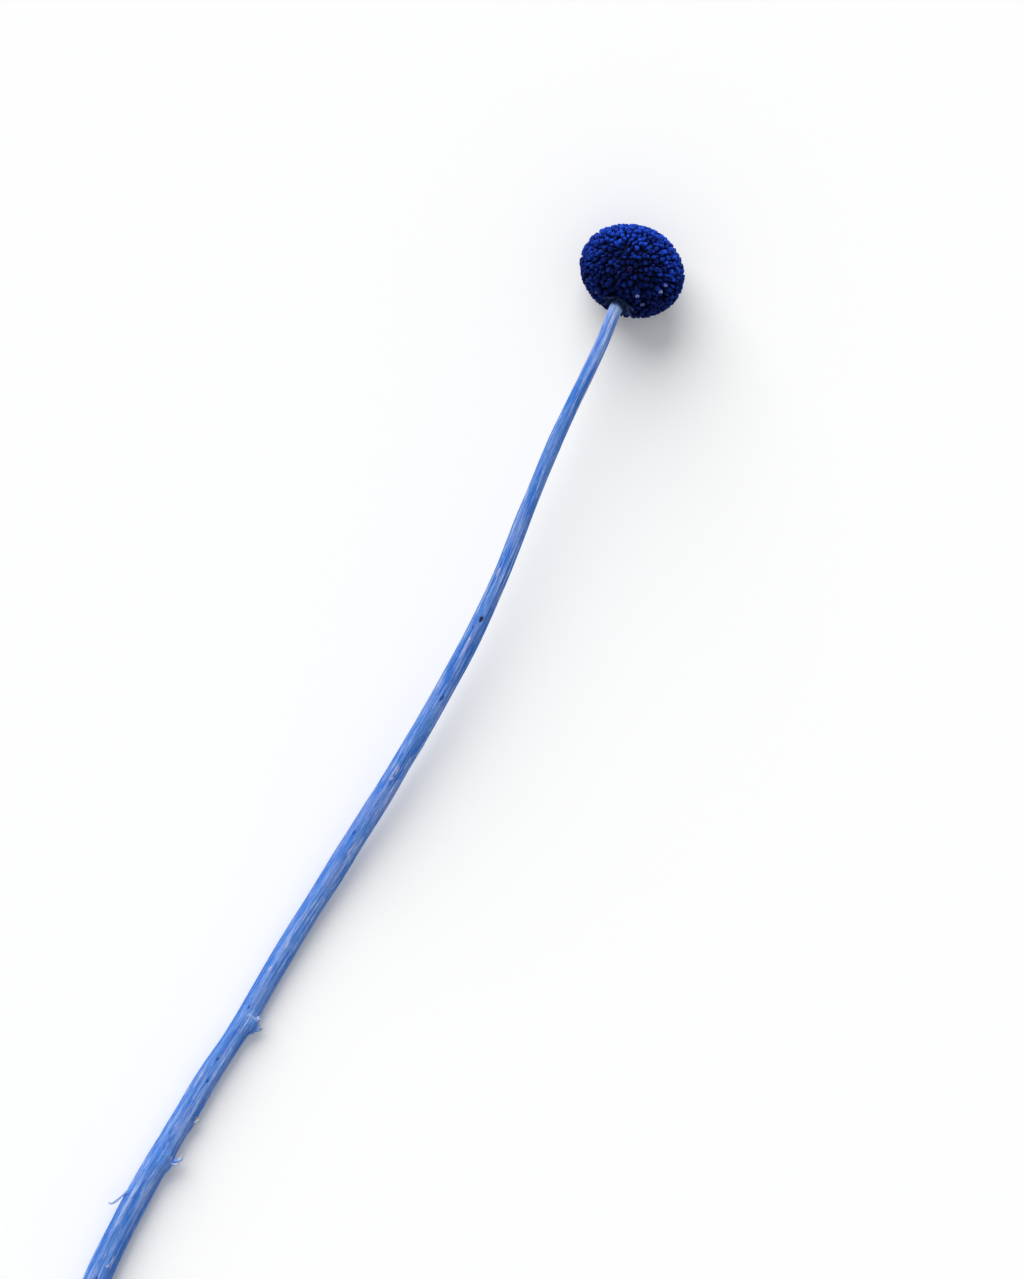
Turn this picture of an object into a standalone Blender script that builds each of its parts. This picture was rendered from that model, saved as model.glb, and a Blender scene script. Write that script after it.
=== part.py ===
"""Billy buttons stem: one dried and dyed craspedia flower, cut and laid on a table.

Metres, +Z up, with the table at z = 0. The stem runs along X, its cut end at -X and its flower head at +X.
Three separate pieces: the stem, the flower head that its tip stands in, and the collar of bracts at the neck.
"""

import math

import bmesh
import bpy
import numpy as np
from mathutils import Vector

MM = 0.001
GAP = 0.3 * MM
SPARE = 0.05 * MM

# The flower head: a flattened ball of florets, with its base tilted up off the table and towards the stem.
HEAD_WIDTH = 26.8 * MM
HEAD_LENGTH = 21.8 * MM
HEAD_MIDDLE = np.array([143.6, 0.0, 11.9]) * MM
HEAD_TILT = math.radians(25)
HEAD_YAW = math.radians(4.5)
FLORETS = 440
FLORET_GROOVE = 1.6 * MM
FLORET_DOME = 0.4 * MM
FLORET_TIP_SHARE = 0.72
FLORET_UNEVEN = 0.24 * MM
FLORET_NUDGE = 0.16
GOLDEN_ANGLE = math.pi * (3 - math.sqrt(5))

# The hollow in the base of the head, and the socket at its bottom for the stem's tip.
HOLLOW_DEPTH = 2.4 * MM
HOLLOW_ANGLE = math.radians(17)
SOCKET_DEPTH = 3.2 * MM
SOCKET_SIDES = 16
CUTTER_STANDS_OUT = 4 * MM

# The stem's route from the cut end to the neck, in mm: along X, along Y, height of its middle, thickness.
STEM_ROUTE = (
    (-154.0, -0.9, 3.00, 6.2),
    (-141.6, 0.0, 3.00, 6.2),
    (-120.4, 0.6, 3.00, 6.2),
    (-97.4, -0.2, 2.72, 5.6),
    (-84.4, -0.8, 2.70, 5.5),
    (-70.4, -2.0, 2.60, 5.3),
    (-49.1, -2.9, 2.60, 5.25),
    (-20.4, -4.8, 4.40, 5.1),
    (4.8, -6.5, 7.60, 5.0),
    (32.6, -7.6, 11.30, 4.6),
    (58.4, -7.0, 14.80, 4.1),
    (81.4, -4.6, 17.70, 3.7),
    (97.6, -3.0, 19.50, 3.6),
    (115.2, -2.2, 20.50, 3.3),
    (126.0, -1.6, 19.30, 3.15),
)
STEM_TIP_WIDTH = 3.1 * MM
NECK_STRAIGHT = 3 * MM
STEM_RINGS = 104
STEM_RIBS = 7
RIB_HEIGHT = (0.035, 0.085)
RIB_TWIST = math.radians(70)
CUT_SLANT = 0.35
NODES = ((-106.8, 0.10), (-65.1, 0.13))
NODE_WIDTH = 2.6 * MM

# What is left of the leaves, in mm and degrees: along X, angle round the stem from +Y, length, width, lean.
LEAF_STUBS = (
    (-107.4, 186, 3.0, 3.0, 0.9),
    (-96.4, 172, 1.5, 2.0, 0.4),
    (-68.0, 176, 2.6, 3.6, 0.3),
    (-131.5, 62, 1.4, 2.2, 0.8),
    (-37.0, 20, 1.4, 2.0, 0.6),
    (-6.0, 150, 1.3, 1.9, 0.7),
    (27.0, 338, 1.3, 1.8, 0.7),
    (64.0, 115, 1.2, 1.6, 0.6),
)
STUB_SIDES = 6
STUB_ROOT = 0.45
STUB_NARROWS = 0.72
STUB_FLATNESS = 0.75

# The strip of fibre that has peeled off the side of the stem, in mm: route points and a square-edged section.
PEEL_ROUTE = (
    (-112.5, 1.9, 3.6),
    (-115.5, 3.2, 3.9),
    (-118.5, 4.6, 4.0),
    (-121.2, 5.9, 3.8),
    (-122.9, 6.5, 3.2),
    (-123.4, 6.3, 2.4),
)
PEEL_WIDTH = 1.3 * MM
PEEL_THICKNESS = 0.7 * MM

# The collar: bracts joined in a ring, as reach from the ring in mm and angle round the neck in degrees.
BRACTS = ((2.3, 20), (1.8, 70), (2.2, 118), (1.7, 165), (2.4, 215), (3.4, 268), (2.1, 318))
BRACT_SPREAD = math.radians(25)
BRACT_THICKNESS = 0.65 * MM
COLLAR_RING = 0.7 * MM
COLLAR_STEPS = 72
COLLAR_ROWS = 4

RNG = np.random.default_rng(11)


def clear_scene():
    for thing in list(bpy.data.objects):
        bpy.data.objects.remove(thing)


def unit(vectors):
    return vectors / np.linalg.norm(vectors, axis=-1, keepdims=True)


def material(name, colour, roughness):
    mat = bpy.data.materials.new(name)
    mat.use_nodes = True
    shader = mat.node_tree.nodes["Principled BSDF"]
    shader.inputs["Base Color"].default_value = (*colour, 1)
    shader.inputs["Roughness"].default_value = roughness
    shader.inputs["Metallic"].default_value = 0
    return mat


def add_object(name, mesh_bm, mat):
    """Turns a bmesh into an object whose faces all point outwards."""
    bmesh.ops.recalc_face_normals(mesh_bm, faces=mesh_bm.faces)
    mesh = bpy.data.meshes.new(name)
    mesh_bm.to_mesh(mesh)
    mesh_bm.free()
    obj = bpy.data.objects.new(name, mesh)
    bpy.context.scene.collection.objects.link(obj)
    if mat:
        mesh.materials.append(mat)
    return obj


def head_axes():
    """The head's own axes in the world: two across it, and the one from its base to its crown."""
    crown = np.array(
        [
            math.cos(HEAD_TILT) * math.cos(HEAD_YAW),
            math.cos(HEAD_TILT) * math.sin(HEAD_YAW),
            -math.sin(HEAD_TILT),
        ]
    )
    across = np.array([-math.sin(HEAD_YAW), math.cos(HEAD_YAW), 0.0])
    return across, np.cross(crown, across), crown


def head_points(directions, heights):
    """Points above the flattened ball by the given heights, on rays from its middle, that stop at the table.

    The hollow in the base is a bell-shaped dip round the pole where the stem goes in.
    """
    across, other, crown = head_axes()
    shape = np.stack([across * HEAD_WIDTH, other * HEAD_WIDTH, crown * HEAD_LENGTH]) / 2
    rays = directions @ shape
    from_base = np.arccos(np.clip(-directions[:, 2], -1, 1))
    dip = HOLLOW_DEPTH * np.exp(-((from_base / HOLLOW_ANGLE) ** 2))
    scale = 1 + (heights - dip) / np.linalg.norm(rays, axis=1)
    to_table = HEAD_MIDDLE[2] / np.maximum(-rays[:, 2], 1e-6)
    return HEAD_MIDDLE + rays * np.minimum(scale, to_table)[:, None]


def floret_directions():
    """A Fibonacci lattice over the ball, with each floret nudged by a part of their spacing."""
    count = np.arange(FLORETS)
    along = 1 - (2 * count + 1) / FLORETS
    around = count * GOLDEN_ANGLE
    out = np.sqrt(1 - along**2)
    lattice = np.stack([out * np.cos(around), out * np.sin(around), along], axis=1)
    spacing = math.sqrt(4 * math.pi / FLORETS)
    return unit(lattice + RNG.uniform(-1, 1, lattice.shape) * spacing * FLORET_NUDGE)


def faces_round(vert):
    """The faces at a vertex of a closed net, in order round it."""
    start = vert.link_loops[0]
    loop = start
    faces = []
    while True:
        faces.append(loop.face.index)
        loop = loop.link_loop_prev.link_loop_radial_next
        if loop is start:
            return faces


def head_mesh():
    """One closed skin of florets, each with a domed tip on a shrunken cell and sides down into a groove.

    The cells are those round the florets' directions, from the hull of all of them.
    """
    centres = floret_directions()
    net = bmesh.new()
    verts = [net.verts.new(c) for c in centres]
    bmesh.ops.convex_hull(net, input=verts)
    bmesh.ops.recalc_face_normals(net, faces=net.faces)
    net.verts.ensure_lookup_table()
    net.verts.index_update()
    net.faces.index_update()
    corners = unit(np.array([np.mean([v.co for v in f.verts], axis=0) for f in net.faces]))
    cells = [(np.array(v.co), faces_round(v)) for v in net.verts]
    net.free()

    heights = RNG.uniform(-1, 1, len(cells)) * FLORET_UNEVEN
    bm = bmesh.new()
    grooves = [bm.verts.new(p) for p in head_points(corners, np.full(len(corners), -FLORET_GROOVE))]
    for (centre, cell), height in zip(cells, heights):
        rim = unit(centre + (corners[cell] - centre) * FLORET_TIP_SHARE)
        rim_verts = [bm.verts.new(p) for p in head_points(rim, np.full(len(rim), height - FLORET_DOME))]
        tip = bm.verts.new(head_points(unit(centre)[None], np.array([height]))[0])
        for i, corner in enumerate(cell):
            j = (i + 1) % len(cell)
            bm.faces.new((tip, rim_verts[i], rim_verts[j]))
            bm.faces.new((rim_verts[i], grooves[corner], grooves[cell[j]]))
            bm.faces.new((rim_verts[i], grooves[cell[j]], rim_verts[j]))
    return bm


def on_head_axis(distance):
    """A point on the head's axis, at a distance from its middle towards the stem."""
    return HEAD_MIDDLE - head_axes()[2] * distance


def hollow_floor():
    """The distance from the head's middle to the bottom of the hollow in its base."""
    return HEAD_LENGTH / 2 - HOLLOW_DEPTH


def socket_cutter():
    """A round cutter for the blind hole that the stem's tip stands in. It is no part of the flower."""
    crown = Vector(head_axes()[2])
    inner = hollow_floor() - SOCKET_DEPTH
    outer = HEAD_LENGTH / 2 + CUTTER_STANDS_OUT
    bm = bmesh.new()
    bmesh.ops.create_cone(
        bm,
        cap_ends=True,
        segments=SOCKET_SIDES,
        radius1=socket_radius(),
        radius2=socket_radius(),
        depth=outer - inner,
    )
    cutter = add_object("socket_cutter", bm, None)
    cutter.location = on_head_axis((inner + outer) / 2)
    cutter.rotation_euler = crown.to_track_quat("Z", "Y").to_euler()
    cutter.hide_render = True
    cutter.display_type = "WIRE"
    return cutter


def socket_radius():
    return STEM_TIP_WIDTH / 2 * (1 + RIB_HEIGHT[1]) + GAP + SPARE


def make_head():
    head = add_object("flower_head", head_mesh(), material("dyed_florets", (0.012, 0.022, 0.22), 0.75))
    cut = head.modifiers.new("socket", "BOOLEAN")
    cut.operation = "DIFFERENCE"
    cut.solver = "EXACT"
    cut.object = socket_cutter()
    return head


def smooth_route(points, count):
    """Rows evenly spaced along a smooth curve through all the points: cubic pieces with matching slopes."""
    points = np.array(points, float)
    steps = np.linalg.norm(np.diff(points[:, :3], axis=0), axis=1)
    at = np.concatenate([[0], np.cumsum(steps)])
    slopes = np.gradient(points, at, axis=0)
    t = np.linspace(0, at[-1], count)
    k = np.clip(np.searchsorted(at, t, side="right") - 1, 0, len(steps) - 1)
    h = steps[k][:, None]
    u = (t - at[k])[:, None] / h
    return (
        points[k] * (1 + 2 * u) * (1 - u) ** 2
        + slopes[k] * h * u * (1 - u) ** 2
        + points[k + 1] * u**2 * (3 - 2 * u)
        + slopes[k + 1] * h * u**2 * (u - 1)
    )


def stem_rows():
    """Rows of x, y, z and thickness along the stem, which ends in the socket on the head's axis."""
    rows = [np.array(row) * MM for row in STEM_ROUTE]
    tip = hollow_floor() - SOCKET_DEPTH + GAP
    for distance in (HEAD_LENGTH / 2 + NECK_STRAIGHT, hollow_floor(), tip):
        rows.append(np.append(on_head_axis(distance), STEM_TIP_WIDTH))
    return smooth_route(rows, STEM_RINGS)


def frames_along(path):
    """Unit vectors along a path, sideways and level, and upwards."""
    along = unit(np.gradient(path, axis=0))
    side = unit(np.cross([0, 0, 1], along))
    return along, side, np.cross(along, side)


def skin(rings):
    """One closed body over rings of points that follow each other, with a flat end on the first and last."""
    bm = bmesh.new()
    loops = [[bm.verts.new(p) for p in ring] for ring in rings]
    sides = len(loops[0])
    for low, high in zip(loops, loops[1:]):
        for i in range(sides):
            j = (i + 1) % sides
            bm.faces.new((low[i], low[j], high[j], high[i]))
    bm.faces.new(loops[0])
    bm.faces.new(reversed(loops[-1]))
    bmesh.ops.triangulate(bm, faces=bm.faces)
    return bm


def stem_body():
    """The stalk: a tapering tube with slowly turning ribs, swollen nodes, a slanted cut and a flat underside."""
    rows = stem_rows()
    path = rows[:, :3]
    along, side, up = frames_along(path)
    count = 2 * STEM_RIBS
    share = np.linspace(0, 1, len(path))
    angle = 2 * math.pi * np.arange(count) / count + RIB_TWIST * share[:, None]
    ribs = np.repeat(RNG.uniform(*RIB_HEIGHT, STEM_RIBS), 2) * np.tile([1, -1], STEM_RIBS)
    swelling = sum(
        amount * np.exp(-(((path[:, 0] - x * MM) / NODE_WIDTH) ** 2)) for x, amount in NODES
    )
    radius = rows[:, 3:] / 2 * (1 + ribs + swelling[:, None])
    out = np.cos(angle)[..., None] * side[:, None] + np.sin(angle)[..., None] * up[:, None]
    rings = path[:, None] + out * radius[..., None]
    rings[0] += along[0] * (CUT_SLANT * (rings[0] - path[0]) @ up[0])[:, None]
    rings[..., 2] = np.maximum(rings[..., 2], 0)
    return add_object("stem", skin(rings), material("dyed_stem", (0.105, 0.262, 0.69), 0.62))


def tapered_bit(path, widths):
    """A small tapering body along a path, with a few sides and a flattened section."""
    along, side, up = frames_along(path)
    angle = 2 * math.pi * (np.arange(STUB_SIDES) + 0.5) / STUB_SIDES
    across = np.cos(angle)[None, :, None] * side[:, None]
    thin = np.sin(angle)[None, :, None] * up[:, None] * STUB_FLATNESS
    return skin(path[:, None] + (across + thin) * np.asarray(widths)[:, None, None] / 2)


def leaf_stubs():
    """Short hooked remains of leaves: each rises from a root inside the stem, leans along it and narrows."""
    rows = stem_rows()
    path = rows[:, :3]
    along, side, up = frames_along(path)
    stubs = []
    for x, degrees, length, width, lean in LEAF_STUBS:
        i = int(np.argmin(np.abs(path[:, 0] - x * MM)))
        angle = math.radians(degrees)
        out = math.cos(angle) * side[i] + math.sin(angle) * up[i]
        surface = rows[i, 3] / 2
        t = np.linspace(0, 1, 6)[:, None]
        reach = length * MM * t
        rise = surface * STUB_ROOT + (surface * (1 - STUB_ROOT) + reach) * t**0.7
        route = path[i] + out * rise + along[i] * reach * lean * (0.6 + t)
        narrowing = 1 - STUB_NARROWS * t[:, 0] ** 1.5
        bit = tapered_bit(route, width * MM * narrowing)
        stubs.append(add_object(f"stub_{len(stubs)}", bit, None))
    return stubs


def peeled_strip():
    """A thin strip of fibre that has come away from the stem's side, with its root in the stem."""
    path = smooth_route(np.array(PEEL_ROUTE) * MM, 9)
    along, side, up = frames_along(path)
    corners = ((1, 1), (-1, 1), (-1, -1), (1, -1))
    narrowing = np.linspace(1, 0.6, len(path))[:, None]
    rings = np.stack(
        [
            path + side * a * PEEL_THICKNESS / 2 + up * b * PEEL_WIDTH / 2 * narrowing
            for a, b in corners
        ],
        axis=1,
    )
    return add_object("peel", skin(rings), None)


def make_stem():
    """The stalk with its leaf stubs and peeled strip, joined into one body."""
    stem = stem_body()
    extras = bpy.data.collections.new("stem_extras")
    bpy.context.scene.collection.children.link(extras)
    for bit in leaf_stubs() + [peeled_strip()]:
        bpy.context.scene.collection.objects.unlink(bit)
        extras.objects.link(bit)
    join = stem.modifiers.new("join", "BOOLEAN")
    join.operation = "UNION"
    join.solver = "EXACT"
    join.operand_type = "COLLECTION"
    join.collection = extras
    joined = bpy.data.meshes.new_from_object(stem.evaluated_get(bpy.context.evaluated_depsgraph_get()))
    stem.modifiers.clear()
    stem.data = joined
    for bit in list(extras.objects):
        bpy.data.objects.remove(bit)
    bpy.data.collections.remove(extras)
    return stem


def make_collar():
    """Papery bracts joined in a ring: a thin sheet round the neck that clears the florets under it.

    Its outline swings out to each bract in turn, and the sheet follows the hollow in the base of the head.
    """
    across, other, crown = head_axes()
    around = 2 * math.pi * np.arange(COLLAR_STEPS) / COLLAR_STEPS
    reach = np.full(COLLAR_STEPS, COLLAR_RING)
    for length, degrees in BRACTS:
        turn = np.angle(np.exp(1j * (around - math.radians(degrees))))
        reach += length * MM * np.clip(1 - np.abs(turn / BRACT_SPREAD) ** 1.3, 0, 1)
    inner = socket_radius()
    share = np.linspace(0, 1, COLLAR_ROWS)
    out = inner + reach[:, None] * share
    clearance = FLORET_UNEVEN + GAP + SPARE
    tilt = np.arcsin(out / (HEAD_WIDTH / 2))
    dip = HOLLOW_DEPTH * np.exp(-((tilt / HOLLOW_ANGLE) ** 2))
    floor = HEAD_LENGTH / 2 * np.cos(tilt) - dip + clearance
    direction = np.cos(around)[:, None] * across + np.sin(around)[:, None] * other
    flat = HEAD_MIDDLE + direction[:, None] * out[..., None]
    under = flat - crown * floor[..., None]
    over = under - crown * BRACT_THICKNESS
    bm = bmesh.new()
    sheets = [[[bm.verts.new(p) for p in row] for row in sheet] for sheet in (under, over)]
    for i in range(COLLAR_STEPS):
        j = (i + 1) % COLLAR_STEPS
        for k in range(COLLAR_ROWS - 1):
            for sheet in sheets:
                bm.faces.new((sheet[i][k], sheet[j][k], sheet[j][k + 1], sheet[i][k + 1]))
        for k in (0, COLLAR_ROWS - 1):
            bm.faces.new((sheets[0][i][k], sheets[0][j][k], sheets[1][j][k], sheets[1][i][k]))
    bmesh.ops.triangulate(bm, faces=bm.faces)
    return add_object("bract_collar", bm, material("papery_bracts", (0.03, 0.07, 0.26), 0.7))


def main():
    clear_scene()
    make_head()
    make_stem()
    make_collar()


main()
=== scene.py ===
"""Billy buttons stem: the finished flower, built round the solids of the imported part.

A dried and dyed craspedia lies on a pale table: a round head of packed florets, papery bracts at its neck,
and a long ribbed stalk with what is left of its leaves. The frame is in metres, the sizes below are in mm.
"""

import math

import bpy
import numpy as np
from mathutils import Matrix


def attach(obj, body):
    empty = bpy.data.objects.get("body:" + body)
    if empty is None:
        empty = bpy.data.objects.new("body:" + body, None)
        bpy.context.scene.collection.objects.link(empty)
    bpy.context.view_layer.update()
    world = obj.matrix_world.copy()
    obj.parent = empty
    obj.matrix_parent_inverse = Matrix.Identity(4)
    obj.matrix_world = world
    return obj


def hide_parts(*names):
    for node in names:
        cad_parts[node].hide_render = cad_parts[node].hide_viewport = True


bl_info = {
    "name": "Billy Buttons Stem",
    "version": (1, 0, 0),
    "blender": (4, 5, 0),
    "location": "3D View > Sidebar > Billy Buttons",
    "description": "Builds a dyed billy buttons flower lying on a table",
    "category": "Add Mesh",
}

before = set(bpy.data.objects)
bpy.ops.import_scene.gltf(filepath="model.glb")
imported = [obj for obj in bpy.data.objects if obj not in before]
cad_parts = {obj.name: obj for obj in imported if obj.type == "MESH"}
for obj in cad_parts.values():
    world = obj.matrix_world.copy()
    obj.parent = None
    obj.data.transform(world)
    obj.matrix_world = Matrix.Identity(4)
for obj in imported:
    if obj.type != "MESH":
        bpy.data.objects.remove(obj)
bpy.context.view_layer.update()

MM = 0.001
TURN = 2 * math.pi
GOLDEN_ANGLE = math.pi * (3 - math.sqrt(5))

# The head's place, as in the solids: middle of the ball, how far its crown dips, and its turn about Z. The
# stalk's tip stands in the hollow of the solid head, of this depth and of this half width as an angle.
HEAD_MIDDLE = np.array([143.6, 0.0, 11.9])
HEAD_TILT = math.radians(25)
HEAD_YAW = math.radians(4.5)
HOLLOW_DEPTH = 2.4
HOLLOW_ANGLE = math.radians(17)

# The stalk's route from the cut end to the neck: along X, along Y, height of its middle, thickness.
STALK_ROUTE = (
    (-154.0, -0.9, 3.0, 6.2), (-141.6, 0.0, 3.0, 6.2), (-120.4, 0.6, 3.0, 6.2), (-97.4, -0.2, 2.72, 5.6),
    (-84.4, -0.8, 2.7, 5.5), (-70.4, -2.0, 2.6, 5.3), (-49.1, -2.9, 2.6, 5.25), (-20.4, -4.8, 4.4, 5.1),
    (4.8, -6.5, 7.6, 5.0), (32.6, -7.6, 11.3, 4.6), (58.4, -7.0, 14.8, 4.1), (81.4, -4.6, 17.7, 3.7),
    (97.6, -3.0, 19.5, 3.6), (115.2, -2.2, 20.5, 3.3), (126.0, -1.6, 19.3, 3.15),
)

# The tip's thickness, how far the stalk runs straight below the head, how deep the socket is, the gap left at
# its end, and the length over which the dye fades towards the tip.
STALK_TIP_WIDTH = 3.1
NECK_STRAIGHT = 3.0
SOCKET_DEPTH = 3.2
TIP_GAP = 0.3
FADED_LENGTH = 18

# The cut end: its slant, the pith's width as a share of the stalk's, and how deep its rim and its middle lie.
CUT_SLANT = 0.35
PITH_SHARE = 0.72
PITH_DEPTHS = (0.35, 0.5)

# Nodes on the stalk: along X, swelling as a share of the radius, angle of the leaf from +Y in degrees.
NODES = ((-107.4, 0.07, 166), (-66.6, 0.13, 172))
NODE_WIDTH = 2.6

# Marks on the stalk: along X, angle from +Y in degrees, half length, half width. Pits are dark and sunken,
# spots are small and blue, scuffs and pink flecks are bare.
MARKS = {
    "pit": (
        (49.6, 92, 0.9, 0.45), (-26.0, 250, 0.9, 0.45), (14.0, 215, 0.8, 0.4), (-45.0, 300, 0.8, 0.42),
        (88.0, 270, 0.7, 0.32),
    ),
    "spot": (
        (47.0, 64, 0.45, 0.25), (-78.2, 82, 0.62, 0.38), (-84.3, 98, 0.75, 0.36), (-63.2, 70, 0.5, 0.42),
        (-140.5, 84, 0.7, 0.34), (28.0, 104, 0.9, 0.35), (-12.0, 68, 0.8, 0.35), (-97.0, 240, 0.8, 0.4),
    ),
    "scuff": (
        (-94.2, 164, 1.3, 0.35), (-104.6, 172, 1.0, 0.35), (-20.0, 330, 2.6, 0.3), (36.0, 250, 3.0, 0.25),
        (-88.0, 350, 2.2, 0.3),
    ),
    "pink": (
        (6.5, 96, 1.9, 0.24), (4.4, 86, 0.6, 0.3), (44.2, 84, 0.5, 0.3), (-136.6, 108, 0.5, 0.3),
        (62.0, 60, 1.5, 0.22), (-52.0, 70, 1.2, 0.22), (-16.0, 104, 2.4, 0.2),
    ),
}

# What is left of the leaves: along X, angle from +Y in degrees, length, width, how far it leans and then
# curls along the stalk as shares of its length, and how bare it is.
LEAF_REMAINS = (
    (-106.2, 158, 2.9, 1.0, 0.15, 0.45, 0.75), (-105.7, 163, 2.5, 0.7, 0.45, 0.65, 1.0),
    (-106.9, 150, 2.6, 0.7, 0.05, 0.3, 0.9), (-94.9, 166, 0.9, 1.3, 0.7, 0.3, 1.0),
    (-66.9, 170, 1.9, 2.4, 0.15, 0.3, 0.55), (-65.4, 141, 1.5, 1.3, 0.6, 0.2, 0.8),
)

# Route of the strand of bark that has come off, from inside the stalk to its hooked end.
PEEL_ROUTE = (
    (-110.6, 1.3, 3.6), (-113.8, 2.2, 3.9), (-116.6, 3.0, 4.0), (-118.6, 3.8, 4.0), (-120.3, 4.5, 3.9),
    (-121.7, 5.1, 3.6), (-122.7, 5.9, 3.2), (-122.6, 6.8, 2.9),
)

# Florets that the dye missed, as seen from above: right and up from the head's middle, paleness.
PALE_FLORETS = (
    (1.0, -7.1, 1.0), (6.9, -5.6, 0.85), (8.1, -4.1, 0.5), (2.4, -8.9, 0.45), (-9.1, -5.9, 0.35),
)
BROWN_FLORETS = ((-0.8, -0.4, 1.0),)

# Splits between groups of florets, as seen from above: two ends right and up from the middle, and depth.
CREASES = (
    ((-5.0, 4.1), (-2.2, 5.8), 1.5), ((-6.6, 2.5), (-5.4, 2.4), 1.3), ((-3.9, 2.8), (0.0, 4.0), 1.2),
    ((2.1, 4.0), (3.2, 4.9), 1.4), ((6.5, 2.4), (7.3, 1.8), 1.2), ((5.3, -3.2), (6.9, -4.1), 1.0),
    ((-5.5, -5.9), (-3.9, -6.7), 1.1), ((-2.6, 0.6), (0.3, 1.4), 0.9),
)
CREASE_WIDTH = 0.7

# A floret's profile from root to tip: share of its outline's reach, height from the skin, tint. Florets that
# face sideways are as uneven as this share of those that face up, and this share of all is a little pale.
# Low tints are painted shade: near black deep between the florets.
FLORET_PROFILE = (
    (0.66, -2.6, 0.0), (0.96, -0.92, 0.12), (1.0, -0.36, 0.52), (0.84, -0.07, 0.86), (0.47, 0.02, 1.0),
)
RIM_UNEVENNESS = 0.45
PALER_SHARE = 0.003

# Bracts under the head: reach from the neck, angle round it in degrees, width, and how dry and pale it is.
# The first ones lie on the florets, and the rest lie over those, this much higher.
FIRST_BRACTS = 8
SECOND_ROW_LIFT = 0.26
BRACTS = (
    (2.3, 14, 2.1, 0.2), (1.6, 52, 1.8, 0.1), (1.4, 96, 1.9, 0.1), (1.5, 133, 1.8, 0.2),
    (2.6, 172, 2.0, 0.8), (3.0, 214, 2.2, 1.0), (3.9, 266, 2.8, 0.7), (2.3, 318, 2.0, 0.4),
    (1.5, 34, 1.5, 0.15), (1.1, 76, 1.5, 0.05), (1.0, 116, 1.4, 0.1), (1.7, 152, 1.6, 0.55),
    (1.7, 195, 1.6, 0.9), (1.9, 238, 1.6, 0.6), (1.6, 292, 1.5, 0.4), (1.4, 343, 1.5, 0.25),
)

# The camera looks straight down: its turn about Z, the point under it, and the height of the picture there.
PICTURE_TURN = math.radians(-62.03)
PICTURE_MIDDLE = (48.65, -16.6)
PICTURE_HEIGHT = 319.75
CAMERA_HEIGHT = 2000.0
SENSOR = 36.0

# The table's half width, how far it lies under the part, and the main light's turn from the picture's right.
TABLE_HALF = 6000.0
TABLE_DROP = 0.05
WINDOW_TURN = math.radians(108)


def unit(vectors):
    """Vectors at length one."""
    return vectors / np.linalg.norm(vectors, axis=-1, keepdims=True)


def along_skin(vectors, normals):
    """Vectors less their part along the normals."""
    return vectors - np.sum(vectors * normals, axis=-1, keepdims=True) * normals


def bump(distance):
    """A bell from 1 at distance 0, nearly 0 from distance 2."""
    return np.exp(-(distance**2))


def ease(value):
    """0 below 0, 1 above 1 and a smooth step between."""
    t = np.clip(value, 0, 1)
    return t * t * (3 - 2 * t)


def wander(rng, at, spacing):
    """A smooth random line from -1 to 1: random knots a spacing apart, with an eased step between."""
    knots = rng.uniform(-1, 1, int((at.max() - at.min()) / spacing) + 3)
    place = (at - at.min()) / spacing
    low = place.astype(int)
    return knots[low] + (knots[low + 1] - knots[low]) * ease(place - low)


def ripple(rng, angle, along, turns, lengths, count):
    """Random relief round a tube, near -1 to 1: a sum of waves, each with a whole number of turns."""
    number = rng.integers(turns[0], turns[1] + 1, count)
    rate = TURN / rng.uniform(*lengths, count) * rng.choice((-1, 1), count)
    phase = rng.uniform(0, TURN, count)
    waves = np.cos(angle[..., None] * number + along[..., None] * rate + phase)
    return waves.sum(axis=-1) / math.sqrt(count)


def grid_faces(rows, columns, wrap):
    """Corner numbers of a grid's faces; with wrap its last column joins its first."""
    number = np.arange(rows * columns).reshape(rows, columns)
    if wrap:
        number = np.concatenate([number, number[:, :1]], axis=1)
    corners = [number[:-1, :-1], number[:-1, 1:], number[1:, 1:], number[1:, :-1]]
    return np.stack(corners, axis=-1).reshape(-1, 4)


def fan_faces(centre, ring, outward):
    """Triangles from a centre to a closed ring of points, turned to face the end that is wanted."""
    after = np.roll(ring, -1)
    pair = (ring, after) if outward else (after, ring)
    return np.stack([np.full(len(ring), centre), *pair], axis=-1)


def tube_faces(rows, columns, first, last):
    """A tube of rings of points, closed by fans to the points numbered first and last."""
    ring = np.arange(columns)
    fans = [fan_faces(first, ring, False), fan_faces(last, ring + (rows - 1) * columns, True)]
    return [grid_faces(rows, columns, True), np.concatenate(fans)]


def lengths_along(points):
    """How far each point lies along the line through all of them."""
    return np.append(0, np.cumsum(np.linalg.norm(np.diff(points[:, :3], axis=0), axis=1)))


def smooth_route(points, count):
    """Rows evenly spaced on a smooth curve through all the points: cubic pieces with matching slopes."""
    points = np.array(points, float)
    at = lengths_along(points)
    slopes = np.gradient(points, at, axis=0)
    t = np.linspace(0, at[-1], count)
    k = np.clip(np.searchsorted(at, t, side="right") - 1, 0, len(at) - 2)
    h = (at[k + 1] - at[k])[:, None]
    u = (t - at[k])[:, None] / h
    return (
        points[k] * (1 + 2 * u) * (1 - u) ** 2
        + slopes[k] * h * u * (1 - u) ** 2
        + points[k + 1] * u**2 * (3 - 2 * u)
        + slopes[k + 1] * h * u**2 * (u - 1)
    )


def frames_along(path):
    """Unit vectors along a path, sideways and level, and upwards."""
    along = unit(np.gradient(path, axis=0))
    side = unit(np.cross([0, 0, 1], along))
    return along, side, np.cross(along, side)


def placed(name, data):
    """An object for some data, in the scene."""
    thing = bpy.data.objects.new(name, data)
    bpy.context.scene.collection.objects.link(thing)
    return thing


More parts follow.
